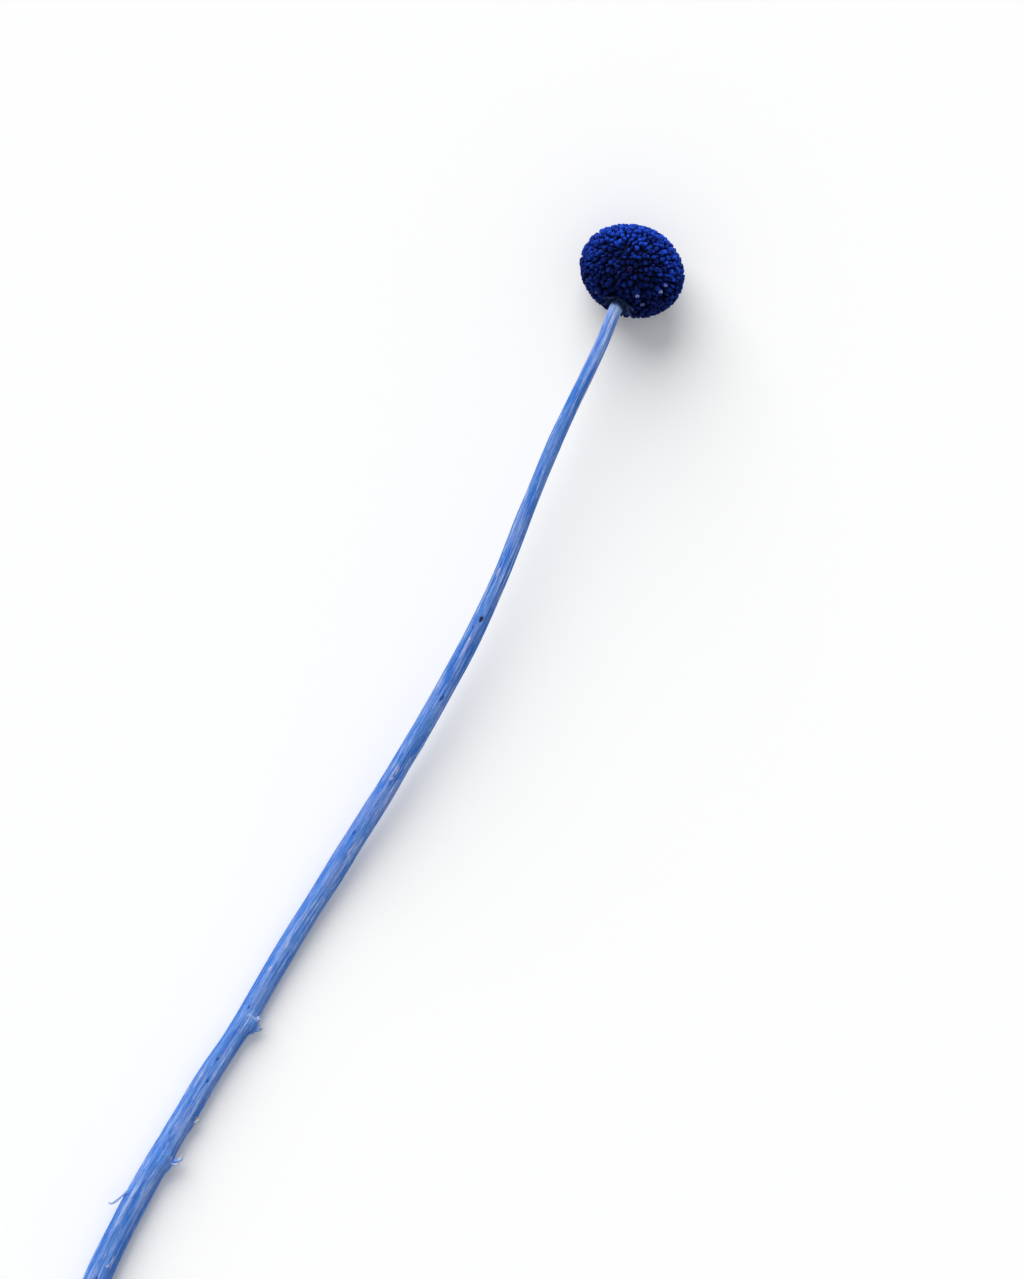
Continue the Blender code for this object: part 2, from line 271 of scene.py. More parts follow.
def new_piece(name, points, faces, attributes, material, slot, stands_for):
    """A smooth mesh from points in mm and arrays of corner numbers, dressed, hung under the root body, and
    shown in place of the solid that it stands for, which is hidden.
    """
    mesh = bpy.data.meshes.new(name)
    mesh.from_pydata((points * MM).tolist(), [], [face for part in faces for face in part.tolist()])
    for key, values in attributes.items():
        kind, field = ("FLOAT", "value") if values.ndim == 1 else ("FLOAT_VECTOR", "vector")
        mesh.attributes.new(key, kind, "POINT").data.foreach_set(field, values.astype(np.float32).ravel())
    mesh.shade_smooth()
    mesh.materials.append(material)
    piece = placed(name, mesh)
    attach(piece, "root")
    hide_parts(stands_for)
    return piece


def closed_sheets(front, thickness):
    """Thin closed bodies from sheets of points (sheet, row, column, 3): a back behind each, and four rims.

    The back lies one thickness behind the front, against the cross product of its column and row steps.
    """
    sheets, rows, columns, _ = front.shape
    across = np.gradient(front, axis=2)
    down = np.gradient(front, axis=1)
    normal = unit(np.cross(across, down))
    back = front - normal * thickness
    size = rows * columns
    index = np.arange(size).reshape(rows, columns)
    edge = np.concatenate([index[0, :-1], index[:-1, -1], index[-1, :0:-1], index[:0:-1, 0]])
    after = np.roll(edge, -1)
    faces = grid_faces(rows, columns, False)
    rim = np.stack([after, edge, edge + size, after + size], axis=-1)
    one = np.concatenate([faces, faces[:, ::-1] + size, rim])
    offsets = np.arange(sheets)[:, None, None] * 2 * size
    points = np.stack([front, back], axis=1).reshape(-1, 3)
    return points, (one + offsets).reshape(-1, 4)


def rgba(colour):
    return (*colour, 1.0)


class Value:
    """A socket in a material, so that shader maths is written as Python."""

    def __init__(self, shade, socket):
        self.shade = shade
        self.socket = socket

    def maths(self, operation, *others, clamp=False):
        settings = {"operation": operation, "use_clamp": clamp}
        return self.shade.add("ShaderNodeMath", settings, dict(enumerate((self, *others))))

    def __add__(self, other):
        return self.maths("ADD", other)

    __radd__ = __add__

    def __sub__(self, other):
        return self.maths("SUBTRACT", other)

    def __rsub__(self, other):
        return self * -1 + other

    def __mul__(self, other):
        return self.maths("MULTIPLY", other)

    __rmul__ = __mul__

    def band(self, low, high):
        """0 below low, 1 above high and a straight ramp between."""
        return self.maths("MULTIPLY_ADD", 1 / (high - low), -low / (high - low), clamp=True)


class Shade:
    """A material with one Principled shader, and short ways to add nodes in front of it."""

    def __init__(self, name, **constants):
        self.material = bpy.data.materials.new(name)
        self.material.use_nodes = True
        self.tree = self.material.node_tree
        self.shader = self.tree.nodes["Principled BSDF"]
        for socket, value in constants.items():
            self.put(self.shader.inputs[socket.replace("_", " ")], value)

    def put(self, socket, value):
        """Links a value to a socket, or sets a constant there."""
        if isinstance(value, Value):
            self.tree.links.new(value.socket, socket)
        else:
            socket.default_value = rgba(value) if socket.type == "RGBA" else value

    def add(self, kind, settings, inputs, output=0):
        """Any node: its type, its settings, which are set first, and the values or links of its sockets."""
        node = self.tree.nodes.new(kind)
        for key, value in settings.items():
            setattr(node, key, value)
        for key, value in inputs.items():
            self.put(node.inputs[key], value)
        return Value(self, node.outputs[output])

    def attribute(self, name, output="Fac"):
        return self.add("ShaderNodeAttribute", {"attribute_name": name}, {}, output)

    def place(self):
        """Object coordinates in mm."""
        return self.vector("MULTIPLY", self.add("ShaderNodeTexCoord", {}, {}, "Object"), (1 / MM,) * 3)

    def vector(self, operation, *vectors):
        return self.add("ShaderNodeVectorMath", {"operation": operation}, dict(enumerate(vectors)))

    def noise(self, vector, scale, detail=3.0, roughness=0.55):
        inputs = {"Vector": vector, "Scale": scale, "Detail": detail, "Roughness": roughness}
        return self.add("ShaderNodeTexNoise", {}, inputs)

    def mix(self, share, first, second):
        """One colour blended into another."""
        return self.add("ShaderNodeMix", {"data_type": "RGBA"}, {0: share, 6: first, 7: second}, 2)

    def layers(self, colour, *layers):
        """Colours laid over one: pairs of a share and the colour that it blends in."""
        for share, layer in layers:
            colour = self.mix(share, colour, layer)
        return colour

    def relief(self, height, strength, distance):
        inputs = {"Height": height, "Strength": strength, "Distance": distance}
        self.put(self.shader.inputs["Normal"], self.add("ShaderNodeBump", {}, inputs))

    def finish(self, colour, roughness):
        self.put(self.shader.inputs["Base Color"], colour)
        self.put(self.shader.inputs["Roughness"], roughness)
        return self.material


def head_axes():
    """The head's own axes: two across it, and the one from its base to its crown."""
    level = np.array([math.cos(HEAD_YAW), math.sin(HEAD_YAW), 0.0])
    crown = math.cos(HEAD_TILT) * level - [0, 0, math.sin(HEAD_TILT)]
    across = np.cross([0, 0, 1], level)
    return across, np.cross(crown, across), crown


def head_shape(settings):
    """Rows that carry a direction in the head's own axes to a point on its ball, from its middle."""
    across, other, crown = head_axes()
    return np.stack([across * settings.width, other * settings.width, crown * settings.length]) / MM / 2


def head_skin(directions, settings):
    """Points of the flattened ball with its hollow, and the ball's outward normals there.

    A point is the direction times the ball's half sizes, less a bell-shaped dip round the base.
    """
    shape = head_shape(settings)
    rays = directions @ shape
    from_base = np.arccos(np.clip(-directions[..., 2], -1, 1))
    dip = settings.hollow / MM * bump(from_base / HOLLOW_ANGLE)
    scale = 1 - dip / np.linalg.norm(rays, axis=-1)
    normals = unit(directions @ (shape / np.sum(shape**2, axis=1, keepdims=True)))
    return HEAD_MIDDLE + rays * scale[..., None], normals


def rest_on_table(points):
    """Points of the head that would go through the table are drawn back onto it, towards its middle."""
    rays = points - HEAD_MIDDLE
    share = HEAD_MIDDLE[2] / np.maximum(-rays[..., 2], 1e-6)
    return HEAD_MIDDLE + rays * np.minimum(share, 1)[..., None]


def lattice(rng, count, nudge, crowding=0.0):
    """Directions spread over a ball by the golden angle, each nudged by a share of their spacing.

    With crowding c, the height h of each becomes h + c * (1 - h^2), which packs them closer at the crown.
    """
    number = np.arange(count)
    along = 1 - (2 * number + 1) / count
    along += crowding * (1 - along**2)
    out = np.sqrt(1 - along**2)
    even = np.stack([out * np.cos(number * GOLDEN_ANGLE), out * np.sin(number * GOLDEN_ANGLE), along], axis=1)
    return unit(even + rng.uniform(-1, 1, even.shape) * math.sqrt(2 * TURN / count) * nudge)


def picture_axes():
    """The directions to the right and up in the picture."""
    right = (math.cos(PICTURE_TURN), math.sin(PICTURE_TURN), 0.0)
    return np.array([right, (-right[1], right[0], 0.0)])


def seen_from_above(points):
    """How far points lie to the right of the head's middle and up from it, in the picture."""
    return (points - HEAD_MIDDLE) @ picture_axes().T


def moved_florets(directions, marks, settings):
    """Moves the floret nearest to each mark onto it, and gives every floret its mark's strength, else 0.

    The step is level and as long as the floret misses the mark, plus a fall that keeps it on the skin.
    """
    strengths = np.zeros(len(directions))
    for right, up, strength in marks:
        places, normals = head_skin(directions, settings)
        miss = (right, up) - seen_from_above(places)
        nearest = np.argmin(np.hypot(*miss.T) + 100.0 * (places[:, 2] < HEAD_MIDDLE[2]))
        step = miss[nearest] @ picture_axes()
        step[2] = -step @ normals[nearest] / normals[nearest, 2]
        ray = places[nearest] + step - HEAD_MIDDLE
        directions[nearest] = unit(ray @ np.linalg.inv(head_shape(settings)))
        strengths[nearest] = strength
    return strengths


def crease_depths(points):
    """How far florets sink at the splits: each is a line seen from above, with a bell-shaped dip across."""
    flat = seen_from_above(points)
    top = points[:, 2] > HEAD_MIDDLE[2]
    depths = np.zeros(len(points))
    for start, end, depth in CREASES:
        line = np.subtract(end, start)
        share = np.clip((flat - start) @ line / (line @ line), 0, 1)
        gap = np.linalg.norm(flat - start - share[:, None] * line, axis=1)
        depths += depth * bump(gap / CREASE_WIDTH) * top
    return depths


def floret_outlines(places, normals, groups, phases, sizes, gaps, sides):
    """Each floret's outline: its reach in every direction of its own plane, (floret, side).

    The reach is about half way to the neighbour in that direction, further for the larger of the two, less a
    gap that is wider between two groups. A soft minimum over the neighbours rounds the corners.
    """
    neighbours = 12
    apart = np.linalg.norm(places[:, None] - places[None], axis=2)
    near = np.argpartition(apart, neighbours + 1, axis=1)[:, : neighbours + 1]
    across = unit(np.cross(normals, [0.31, 0.42, 0.85]))
    other = np.cross(normals, across)
    step = places[near] - places[:, None]
    x = np.einsum("nki,ni->nk", step, across)
    y = np.einsum("nki,ni->nk", step, other)
    length = np.maximum(np.hypot(x, y), 1e-9)
    gap = np.where(groups[near] == groups[:, None], gaps[0][:, None], gaps[1][:, None])
    half = length / 2 + (sizes[:, None] - sizes[near]) / (2 * length) - gap
    angle = phases[:, None] + TURN * np.arange(sides) / sides
    facing = x[..., None] * np.cos(angle)[:, None] + y[..., None] * np.sin(angle)[:, None]
    itself = near == np.arange(len(places))[:, None]
    useful = (facing > 1e-6) & ~itself[..., None]
    reach = np.where(useful, (half * length)[..., None] / np.where(useful, facing, 1), 9.0)
    reach = np.maximum(reach, 0.1)
    rounded = np.sum(reach**-8.0, axis=1) ** (-1 / 8)
    spread = np.cos(angle)[..., None] * across[:, None] + np.sin(angle)[..., None] * other[:, None]
    return rounded, spread


def make_florets(settings):
    """All the florets as one mesh: each outline is carried up a profile from a thin root to a cushioned tip.

    A tip's height is the profile's plus noise and long waves, less a part for its group and for the splits,
    all of it smaller where the floret faces sideways, so the rim is even. The top tilts and has a toothed rim
    and a cup or a low dome. Gaps are narrower at the crown and towards the light, where the tone is raised
    as painted light.
    """
    rng = np.random.default_rng(settings.seed)
    count, sides = settings.florets, settings.sides

    # Where each floret stands, the group it belongs to and its size.
    directions = lattice(rng, count, settings.nudge, settings.crowding)
    pale = moved_florets(directions, PALE_FLORETS, settings)
    brown = moved_florets(directions, BROWN_FLORETS, settings)
    places, normals = head_skin(directions, settings)
    centres = lattice(rng, settings.groups, 0.8)
    groups = np.argmax(directions @ centres.T, axis=1)
    group_tone, group_lean = rng.uniform(-1, 1, (2, settings.groups))[:, groups]
    group_sunk = rng.uniform(0, 1, settings.groups)[groups] ** 4
    sizes = rng.uniform(-1, 1, count) * settings.size_range
    sizes = np.where(pale > 0, 0.4, sizes) + 1.6 * brown
    paler = (rng.uniform(0, 1, count) > 1 - PALER_SHARE) * rng.uniform(0.1, 0.3, count)
    pale = np.maximum(pale, paler * (sizes > 0))

    # Outlines, squeezed across the way to the middle of the group, smoothed and folded.
    upwards = np.maximum(normals[:, 2], 0)
    towards_light = seen_from_above(places)[:, 1] * MM / settings.width
    gaps = np.array([[settings.gap], [settings.group_gap]]) / MM
    gaps = gaps * (1 - settings.tightness * np.maximum(directions[:, 2], -0.1))
    gaps *= (0.75 + 0.6 * upwards) * (1 - 0.9 * np.maximum(towards_light, 0))
    reach, spread = floret_outlines(places, normals, groups, rng.uniform(0, TURN, count), sizes, gaps, sides)
    reach = np.minimum(reach, 1.35 * np.median(reach))
    to_group = along_skin(centres[groups] @ head_shape(settings) + HEAD_MIDDLE - places, normals)
    squeeze = rng.uniform(0, settings.squeeze, count)[:, None]
    reach *= 1 - squeeze * (1 - np.sum(spread * unit(to_group)[:, None], axis=2) ** 2)
    reach = 0.7 * reach + 0.15 * (np.roll(reach, 1, axis=1) + np.roll(reach, -1, axis=1))
    reach *= 1 + settings.lobes * rng.uniform(-1, 0.6, reach.shape)

    # How high each tip stands, how it leans, and how deep its cup is.
    folds = np.cos(directions @ (7.5 * unit(rng.normal(size=(3, 6)))) + rng.uniform(0, TURN, 6)).sum(axis=1)
    sunk = settings.unevenness / MM * (rng.uniform(0, 1, count) ** 3 + 0.5 * group_sunk)
    creases = crease_depths(places)
    uneven = RIM_UNEVENNESS + (1 - RIM_UNEVENNESS) * upwards
    rise = (0.1 * rng.uniform(-1, 1, count) + 0.07 * folds - sunk - creases) * uneven
    rise -= 0.6 * (np.mean(reach, axis=1) < 0.33)
    lean = unit(rng.normal(size=(count, 3))) * rng.uniform(0, 0.14, count)[:, None]
    lean = along_skin(lean + to_group * (0.1 + 0.16 * group_lean)[:, None], normals)
    opened = np.maximum(rng.uniform(0, 1, count) < settings.opened, brown)
    cup = rng.uniform(0.5, 0.9, count) * np.mean(reach, axis=1)
    dimple = np.where(opened, cup, rng.uniform(-0.1, 0.12, count))

    # The profile carried round each outline, with a point more at the tip and at the root.
    share, height, tint = np.array(FLORET_PROFILE).T
    up = height + rise[:, None]
    tilt = rng.uniform(-1, 1, (count, 3)) * settings.tilt * uneven[:, None] ** 2
    tilt = np.sum(spread * tilt[:, None], axis=2) * reach
    teeth = settings.teeth / MM * rng.uniform(-1, 1, (count, sides))
    level = up[..., None] + tint[:, None] * tilt[:, None] + tint[:, None] ** 2 * teeth[:, None]
    ring = places[:, None, None] + normals[:, None, None] * level[..., None]
    share = share + 0.14 * np.multiply.outer(1 - upwards, 1 - tint)
    ring = ring + spread[:, None] * (reach[:, None] * share[..., None])[..., None]
    ring = ring + lean[:, None, None] * (1 + height / -height[0])[:, None, None]
    top = places + normals * (rise - dimple)[:, None] + lean
    root = places + normals * (height[0] + rise)[:, None]
    points = np.concatenate([ring.reshape(count, -1, 3), top[:, None], root[:, None]], axis=1)

    # Faces, and what the material reads: tints along a floret, and for each floret one tone of random dye
    # with painted light and shade in it, and its painted shade towards the base.
    rows = len(tint)
    size = rows * sides + 2
    offsets = np.arange(count)[:, None, None] * size
    one = tube_faces(rows, sides, size - 1, size - 2)
    faces = [(part + offsets).reshape(-1, part.shape[1]) for part in one]
    tints = np.tile(np.concatenate([np.repeat(tint, sides), [0.84, 0.0]]), (count, 1))
    # Opened florets get a lower tint in the middle of their top: painted shade in their cups.
    tints[:, -2] -= 0.5 * opened
    # The tone is random dye for each floret and its group, less painted shade on sunk florets and in the
    # splits, plus painted light towards the top of the picture and towards the crown.
    tone = 0.05 + rng.beta(1.6, 2.5, count) + 0.22 * group_tone - 0.35 * sunk - 0.5 * creases
    tone += (0.3 + 0.65 * np.abs(towards_light)) * towards_light + 0.1 * directions[:, 2]
    tone = np.clip(tone, 0, 1)
    # Painted shade towards the base of the head, on its underside.
    shaded = ease(0.25 - 0.9 * directions[:, 2])
    each = {"tone": tone, "shaded": shaded, "pale": pale, "brown": brown}
    attributes = {name: np.repeat(values, size) for name, values in each.items()}
    attributes["tint"] = tints.ravel()
    return rest_on_table(points.reshape(-1, 3)), faces, attributes


def floret_material(dye):
    """Dyed dry florets: painted shade near black in the gaps, strands down their sides, and each its own blue
    on top, with painted light and a painted highlight on it.
    """
    shade = Shade(
        "dyed_florets",
        Sheen_Weight=dye.sheen,
        Sheen_Roughness=0.45,
        Sheen_Tint=dye.sheen_colour,
        Specular_IOR_Level=0.04,
    )
    tint, tone, pale = (shade.attribute(name) for name in ("tint", "tone", "pale"))
    place = shade.place()
    mottle = shade.noise(place, 2.6, 4.0, 0.6)
    top = shade.layers(
        shade.mix(tone.band(0.0, 0.5), dye.dark, dye.middle),
        ((tone + mottle * 0.5).band(0.72, 1.25), dye.bright),
        # Painted highlight: a lighter ring round the top of each tip, stronger where the tone is higher.
        (tint.band(0.86, 1.0) * (tone * 1.15 + 0.22), dye.bright),
        (pale, dye.pale),
        (shade.attribute("brown") * 0.8, dye.brown),
    )
    ray = shade.vector("NORMALIZE", shade.vector("SUBTRACT", place, tuple(HEAD_MIDDLE)))
    strands = shade.noise(ray, 32.0, 3.0, 0.65)
    side = shade.mix(strands.band(0.42, 0.6) * (tone * 1.2 + 0.15), dye.side, dye.strand)
    # Painted shade: near black low down on each floret, between them, lighter where the tone carries painted
    # light.
    side = shade.mix((tint + tone * 0.55 - 0.2).band(0.2, 0.56), dye.gap_shade, side)
    colour = shade.mix((tint + (mottle - 0.5) * 0.25).band(0.6, 0.95), side, top)
    # Painted shade: florets towards the base of the head are blended into the dark base colour, less so those
    # that the dye missed.
    colour = shade.mix(shade.attribute("shaded") * (0.7 - pale * 0.65), colour, dye.base)
    shade.relief(shade.noise(place, 5.5, 3.0) * 0.5 + strands, 0.6, 0.16 * MM)
    return shade.finish(colour, mottle.band(0.1, 0.9) * 0.2 + 0.58)


def make_receptacle(settings):
    """The solid heart of the head under the florets: its skin with the hollow, sunk by a fixed depth."""
    rows, columns = 40, 72
    down = math.pi * (np.arange(rows) + 1) / (rows + 1)
    round_it = TURN * np.arange(columns) / columns
    down, round_it = np.meshgrid(down, round_it, indexing="ij")
    out = np.sin(down)
    ball = np.stack([out * np.cos(round_it), out * np.sin(round_it), -np.cos(down)], axis=-1)
    poles = np.array([[0.0, 0.0, -1.0], [0.0, 0.0, 1.0]])
    skin, normals = head_skin(np.concatenate([ball.reshape(-1, 3), poles]), settings)
    points = rest_on_table(skin - normals * settings.heart_depth / MM)
    return points, tube_faces(rows, columns, rows * columns, rows * columns + 1), {}


def receptacle_material(dye):
    """Dyed fibre of the heart, seen only in the gaps, painted near black as the shade deep inside the head.
    """
    shade = Shade("dyed_receptacle", Specular_IOR_Level=0.1)
    grain = shade.noise(shade.place(), 3.0)
    shade.relief(grain, 0.5, 0.2 * MM)
    return shade.finish(shade.mix(grain, dye.heart_dark, dye.heart_light), grain * 0.2 + 0.75)


def stalk_rows(count, head):
    """Rows of x, y, z and thickness along the stalk, which ends in the socket on the head's axis."""
    half = head.length / MM / 2
    floor = half - HOLLOW_DEPTH
    crown = head_axes()[2]
    distances = (half + NECK_STRAIGHT, floor, floor - SOCKET_DEPTH + TIP_GAP)
    last = [(*(HEAD_MIDDLE - crown * distance), STALK_TIP_WIDTH) for distance in distances]
    return smooth_route([*STALK_ROUTE, *last], count)


def mark_strength(marks, x, degrees, radius):
    """The strongest of several marks at each point of the stalk: each is a bell along it and round it."""
    total = np.zeros(np.broadcast(x, degrees).shape)
    for mark_x, mark_degrees, half_length, half_width in marks:
        turned = (degrees - mark_degrees + 180) % 360 - 180
        round_it = np.radians(turned) * radius / half_width
        total = np.maximum(total, bump(np.hypot((x - mark_x) / half_length, round_it) ** 1.5))
    return total


def stalk_ribs(rng, settings, angle, distance):
    """Main ribs as narrow bells round the stalk, 0 to 1: they turn slowly, wander, and rise and fall."""
    ribs = np.zeros(angle.shape)
    turned = math.radians(70) * distance / distance[-1]
    for k in range(settings.ribs):
        centre = TURN * (k + 0.5 * rng.uniform(-1, 1)) / settings.ribs + turned
        centre = centre + 0.25 * wander(rng, distance, 24)
        height = 0.65 + 0.5 * wander(rng, distance, 18)
        off = np.angle(np.exp(1j * (angle - centre[:, None])))
        ribs += height[:, None] * bump(off / 0.26)
    return ribs


def node_relief(x, degrees):
    """Swellings at the nodes, as shares of the radius, and the frayed lip where a leaf sat at each.

    A swelling is all on its leaf's side and ends in a step below. The lip slants round that side.
    """
    relief = np.zeros(np.broadcast(x, degrees).shape)
    lips = np.zeros(relief.shape)
    for node_x, size, leaf_degrees in NODES:
        towards = np.cos(np.radians(degrees - leaf_degrees))
        below = ease((x - node_x + NODE_WIDTH) / 1.2)
        relief += size * bump((x - node_x) / NODE_WIDTH) * (1 + towards) ** 1.5 * (0.35 + 0.65 * below)
        lip = bump((x - node_x - 1.6 - 0.5 * towards) / 0.5) * ease((towards + 0.35) / 0.9) * size / 0.13
        relief += 0.05 * lip
        lips = np.maximum(lips, lip)
    return relief, lips


def make_stalk(settings, head):
    """The stalk: a tube whose radius at each place is the thickness there, times one plus all its relief.

    The relief is a few main ribs that wander round it, fine lengthwise grooves, slow swellings, the nodes,
    the leaf bases and the marks. The cut end slants, and what would go through the table is flat on it.
    """
    rng = np.random.default_rng(settings.seed)
    rows, columns = settings.rings, settings.sides
    route = stalk_rows(rows, head)
    path = route[:, :3]
    along, side, up = frames_along(path)
    distance = lengths_along(path)
    angle = TURN * np.arange(columns) / columns + np.zeros((rows, 1))
    at = distance[:, None] + np.zeros(columns)
    radius = route[:, 3:] / 2

    ribs = stalk_ribs(rng, settings, angle, distance)
    fine = 0.5 * ripple(rng, angle, at, (8, 14), (40, 160), 9)
    fine += 0.5 * ripple(rng, angle, at, (14, 21), (16, 70), 9)
    slow = wander(rng, distance, 12)[:, None] * 0.022 + ripple(rng, angle, at, (1, 3), (14, 50), 6) * 0.024
    x = path[:, :1] + 0.12 * ripple(rng, angle, at, (2, 7), (2.5, 8), 6)
    degrees = np.degrees(angle) + 2.5 * ripple(rng, angle, at, (2, 7), (2.5, 8), 6)
    knots, lips = node_relief(x + 0.35 * ripple(rng, angle, at, (3, 9), (2, 5), 6), degrees)
    marks = {name: mark_strength(found, x, degrees, radius) for name, found in MARKS.items()}
    rims = [(a + 0.3, b, c * 1.7, d * 1.8) for a, b, c, d in MARKS["pit"]]
    bases = [(a - 0.8, b, 1.8, 0.4 * width) for a, b, _, width, *_ in LEAF_REMAINS]
    rims, bases = (mark_strength(found, x, degrees, radius) for found in (rims, bases))
    relief = settings.rib_height * (ribs - 0.35) + settings.groove * fine + slow + knots
    relief += 0.09 * bases + 0.07 * rims - 0.24 * marks["pit"] - 0.06 * marks["spot"]
    reach = radius * (1 + relief)

    out = np.cos(angle)[..., None] * side[:, None] + np.sin(angle)[..., None] * up[:, None]
    tube = path[:, None] + out * reach[..., None]
    frayed = 0.16 * ripple(rng, angle[0], at[0], (5, 16), (9, 10), 7)
    tube[0] += along[0] * (CUT_SLANT * (tube[0] - path[0]) @ up[0] + frayed)[:, None]
    tube[..., 2] = np.maximum(tube[..., 2], 0)
    core = path[0] + PITH_SHARE * (tube[0] - path[0]) + along[0] * PITH_DEPTHS[0]
    size = rows * columns
    ring = np.arange(columns)
    points = np.concatenate([tube.reshape(-1, 3), path[-1:], core, path[:1] + along[0] * PITH_DEPTHS[1]])
    rim = np.stack([size + 1 + ring, size + 1 + np.roll(ring, -1), np.roll(ring, -1), ring], axis=-1)
    faces = [
        grid_faces(rows, columns, True),
        rim,
        fan_faces(size + 1 + columns, ring + size + 1, False),
        fan_faces(size, ring + size - columns, True),
    ]

    straight = np.stack([np.cos(angle) * radius, np.sin(angle) * radius, at], axis=-1)
    to_tip = distance[-1] - SOCKET_DEPTH - at
    masks = {
        "ridge": ribs + 0.3 * fine,
        "frayed": lips,
        **marks,
        "faded": ease(1 - to_tip / FADED_LENGTH),
        "bare": ease(1 - (to_tip - 1.2) / 5.5),
        # Painted shadow under the head, over the last few mm of the stalk.
        "neck": ease((3.8 - to_tip) / 2.0),
        # Painted shade on both flanks of the stalk, as seen from above.
        "flank": np.abs(np.cos(angle)) ** 3,
        "cut": np.zeros(at.shape),
    }
    ends = columns + 2
    attributes = {key: np.append(mask.ravel(), np.zeros(ends)) for key, mask in masks.items()}
    attributes["cut"][size + 1 :] = 1
    spokes = np.concatenate([path[:1] * 0, PITH_SHARE * straight[0] - [0, 0, 3], path[:1] * 0])
    attributes["straight"] = np.concatenate([straight.reshape(-1, 3), spokes])
    return points, faces, attributes


def stalk_material(dye):
    """Blue dye over pale dry fibre: streaked lengthwise, worn in patches and on the ribs, dark in grooves,
    with painted shade on its flanks and a painted shadow under the head.
    """
    shade = Shade("dyed_stalk", Specular_IOR_Level=0.22)
    straight = shade.attribute("straight", "Vector")
    ridge = shade.attribute("ridge")

    def streaks(across, lengthwise, detail=3.0):
        return shade.noise(shade.vector("MULTIPLY", straight, (across, across, lengthwise)), 1.0, detail, 0.6)

    def mark(name):
        return (shade.attribute(name) + (hair - 0.5) * 0.9 + (thread - 0.5) * 0.5).band(0.36, 0.6)

    broad = streaks(0.38, 0.045, 2.0)
    streak = streaks(1.15, 0.075)
    thread = streaks(2.3, 0.12)
    hair = streaks(4.6, 0.25)
    fibre = streaks(9.5, 0.45)
    patch = streaks(0.6, 0.13, 4.0)
    fingers = (patch + (thread - 0.5) * 0.55).band(0.49, 0.55)
    lilac = (streaks(0.26, 0.06, 3.0) + (thread - 0.5) * 0.4 + ridge * 0.03).band(0.5, 0.6)
    light = (streak * 0.55 + thread * 0.45 + ridge * 0.1).band(0.49, 0.62) * (fingers * 0.6 + 0.4)
    grooves = (0.95 - thread * 0.55 - hair * 0.45 - ridge * 0.18).band(0.46, 0.56)
    worn = (thread * 0.5 + hair * 0.5 + ridge * 0.08).band(0.57, 0.615) * (fingers * 0.75 + 0.25)
    crest = (streaks(1.7, 0.055) + (hair - 0.5) * 0.2 + ridge * 0.05).band(0.665, 0.7)
    faded = shade.attribute("faded") * (thread * 0.5 + hair * 0.6 + ridge * 0.05).band(0.55, 0.64)
    frayed = (shade.attribute("frayed") * 0.8 + (hair - 0.5) * 1.8 + (thread - 0.5) * 0.8).band(0.42, 0.66)
    bare = shade.attribute("bare") * (thread * 0.6 + hair * 0.4).band(0.3, 0.5)
    dry = shade.mix((hair * 0.6 + fibre * 0.4).band(0.46, 0.57), dye.light, dye.neck)
    # Painted shadow under the head on the stalk's top, broken up by the fibre noise.
    gathered = (shade.attribute("neck") + (hair - 0.5) * 1.2 + (thread - 0.5) * 0.8).band(0.4, 0.85)
    colour = shade.layers(
        shade.mix((broad + (streak - 0.5) * 0.6).band(0.42, 0.54), dye.deep, dye.middle),
        (lilac * 0.8, dye.lilac),
        (light * 0.9, dye.light),
        (grooves * 0.4, dye.groove_colour),
        # Painted shade: the flanks darkened with the deep dye colour.
        (shade.attribute("flank") * 0.5, dye.deep),
        (worn * 0.9, dye.worn),
        (crest * 0.75, dye.pink),
        (faded * 0.8, dye.faded),
        (frayed * 0.9, dye.faded),
        (bare, dry),
        (fibre.band(0.54, 0.66) * 0.3, dye.worn),
        ((1 - fibre).band(0.54, 0.66) * 0.3, dye.groove_colour),
        # Painted shadow under the head.
        (gathered * 0.95, dye.shadow),
        (mark("scuff") * 0.8, dye.bare),
        (mark("pink") * 0.8, dye.pink),
        (mark("spot") * 0.85, dye.groove_colour),
        (mark("pit") * 0.92, dye.scar),
        (shade.attribute("cut"), shade.mix(hair.band(0.35, 0.65), dye.pith_dark, dye.pith_light)),
    )
    shade.relief(hair * 0.5 + thread * 0.45 + fibre * 0.3, 1.0, 0.6 * MM)
    return shade.finish(colour, streak.band(0.3, 0.7) * 0.2 + 0.42)


def torn_strand(rng, middle, half, flatness):
    """A closed strand of fibre round a line of points, grooved lengthwise and torn into fingers at its end.

    Its cross-section is an ellipse whose half width is given for each row, times one plus waves round it. The
    waves grow towards the end, push its rim out and in, and leave a hollow in the middle.
    """
    rows, columns = len(middle), 20
    t = np.linspace(0, 1, rows)[:, None]
    angle = TURN * np.arange(columns) / columns
    ahead, flat, thin = frames_along(middle)
    fingers = ripple(rng, angle, angle, (2, 4), (9, 10), 3)
    fingers += 0.5 * ripple(rng, angle, angle, (6, 9), (9, 10), 3)
    grooves = 1 + 0.08 * ripple(rng, angle, angle, (4, 7), (9, 10), 4) + 0.1 * fingers * t**2
    ring = np.cos(angle)[:, None] * flat[:, None] + flatness * np.sin(angle)[:, None] * thin[:, None]
    body = middle[:, None] + ring * (half * grooves)[..., None]
    tear = min(0.16 * lengths_along(middle)[-1], 1.1 * half[-1, 0])
    body += ahead[:, None] * (tear * fingers * t**6)[..., None]
    hollow = middle[-1] - ahead[-1] * 1.4 * tear
    points = np.concatenate([body.reshape(-1, 3), [middle[0], hollow]])
    faces = tube_faces(rows, columns, rows * columns, rows * columns + 1)
    return points, faces, np.append(np.repeat(t, columns), [0, 1])


